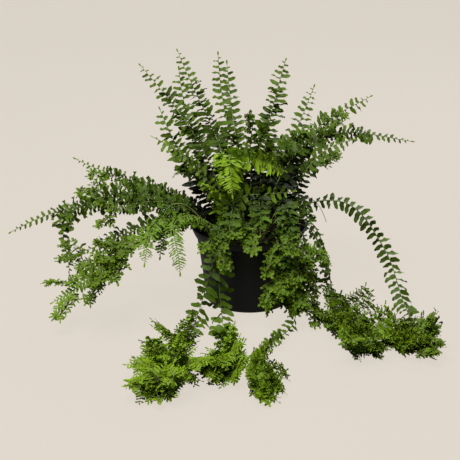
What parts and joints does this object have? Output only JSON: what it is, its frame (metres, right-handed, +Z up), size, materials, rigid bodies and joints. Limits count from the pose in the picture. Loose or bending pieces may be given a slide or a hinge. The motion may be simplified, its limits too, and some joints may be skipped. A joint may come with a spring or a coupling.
{
  "type": "potted petticoat boston fern",
  "caption": "Crested fern with arching and trailing fronds, forked into ruffled tassels at their tips, growing in a tapered nursery pot with a flared lip.",
  "frame": {"origin": "centre of the pot's flat underside", "axes": "+Z up, -Y to the front of the plant, +X to the right seen from the front"},
  "size_m": [0.52, 0.5153, 0.3085],
  "materials": {
    "pot": "satin",
    "soil": "matte",
    "rootstock": "matte",
    "leaf": "satin",
    "young_leaf": "satin",
    "runner": "satin"
  },
  "bodies": {
    "root": {"pot": "pot", "soil": "soil", "crown": "rootstock", "crozier": "young_leaf", "runner_1": "runner", "runner_2": "runner", "frond_front_1": "leaf", "frond_front_2": "leaf", "frond_front_3": "leaf", "frond_front_4": "leaf", "frond_front_5": "leaf", "frond_front_6": "leaf", "frond_front_7": "leaf", "frond_front_8": "leaf", "frond_front_9": "leaf", "frond_front_10": "leaf", "frond_front_11": "leaf", "frond_front_12": "leaf", "frond_front_13": "leaf", "frond_right_1": "leaf", "frond_right_2": "leaf", "frond_right_3": "leaf", "frond_right_4": "leaf", "frond_left_1": "leaf", "frond_left_2": "leaf", "frond_left_3": "leaf", "frond_left_4": "leaf", "frond_left_5": "leaf", "frond_left_6": "young_leaf", "frond_left_7": "leaf", "frond_left_8": "leaf", "frond_left_9": "young_leaf", "frond_left_10": "young_leaf", "frond_left_11": "leaf", "frond_left_12": "leaf", "frond_top_1": "leaf", "frond_top_2": "leaf", "frond_top_3": "leaf", "frond_top_4": "leaf", "frond_top_5": "leaf", "frond_top_6": "leaf", "frond_top_7": "leaf", "frond_top_8": "leaf", "frond_top_9": "leaf", "frond_top_10": "leaf", "frond_top_11": "leaf", "frond_top_12": "leaf", "frond_mid_1": "leaf", "frond_mid_2": "leaf", "frond_mid_3": "young_leaf", "frond_mid_4": "young_leaf", "frond_mid_5": "leaf", "frond_mid_6": "young_leaf", "frond_back_1": "leaf", "frond_back_2": "leaf", "frond_back_3": "leaf", "frond_back_4": "leaf", "frond_back_5": "leaf", "frond_back_6": "leaf", "frond_back_7": "leaf"}
  },
  "joints": []
}
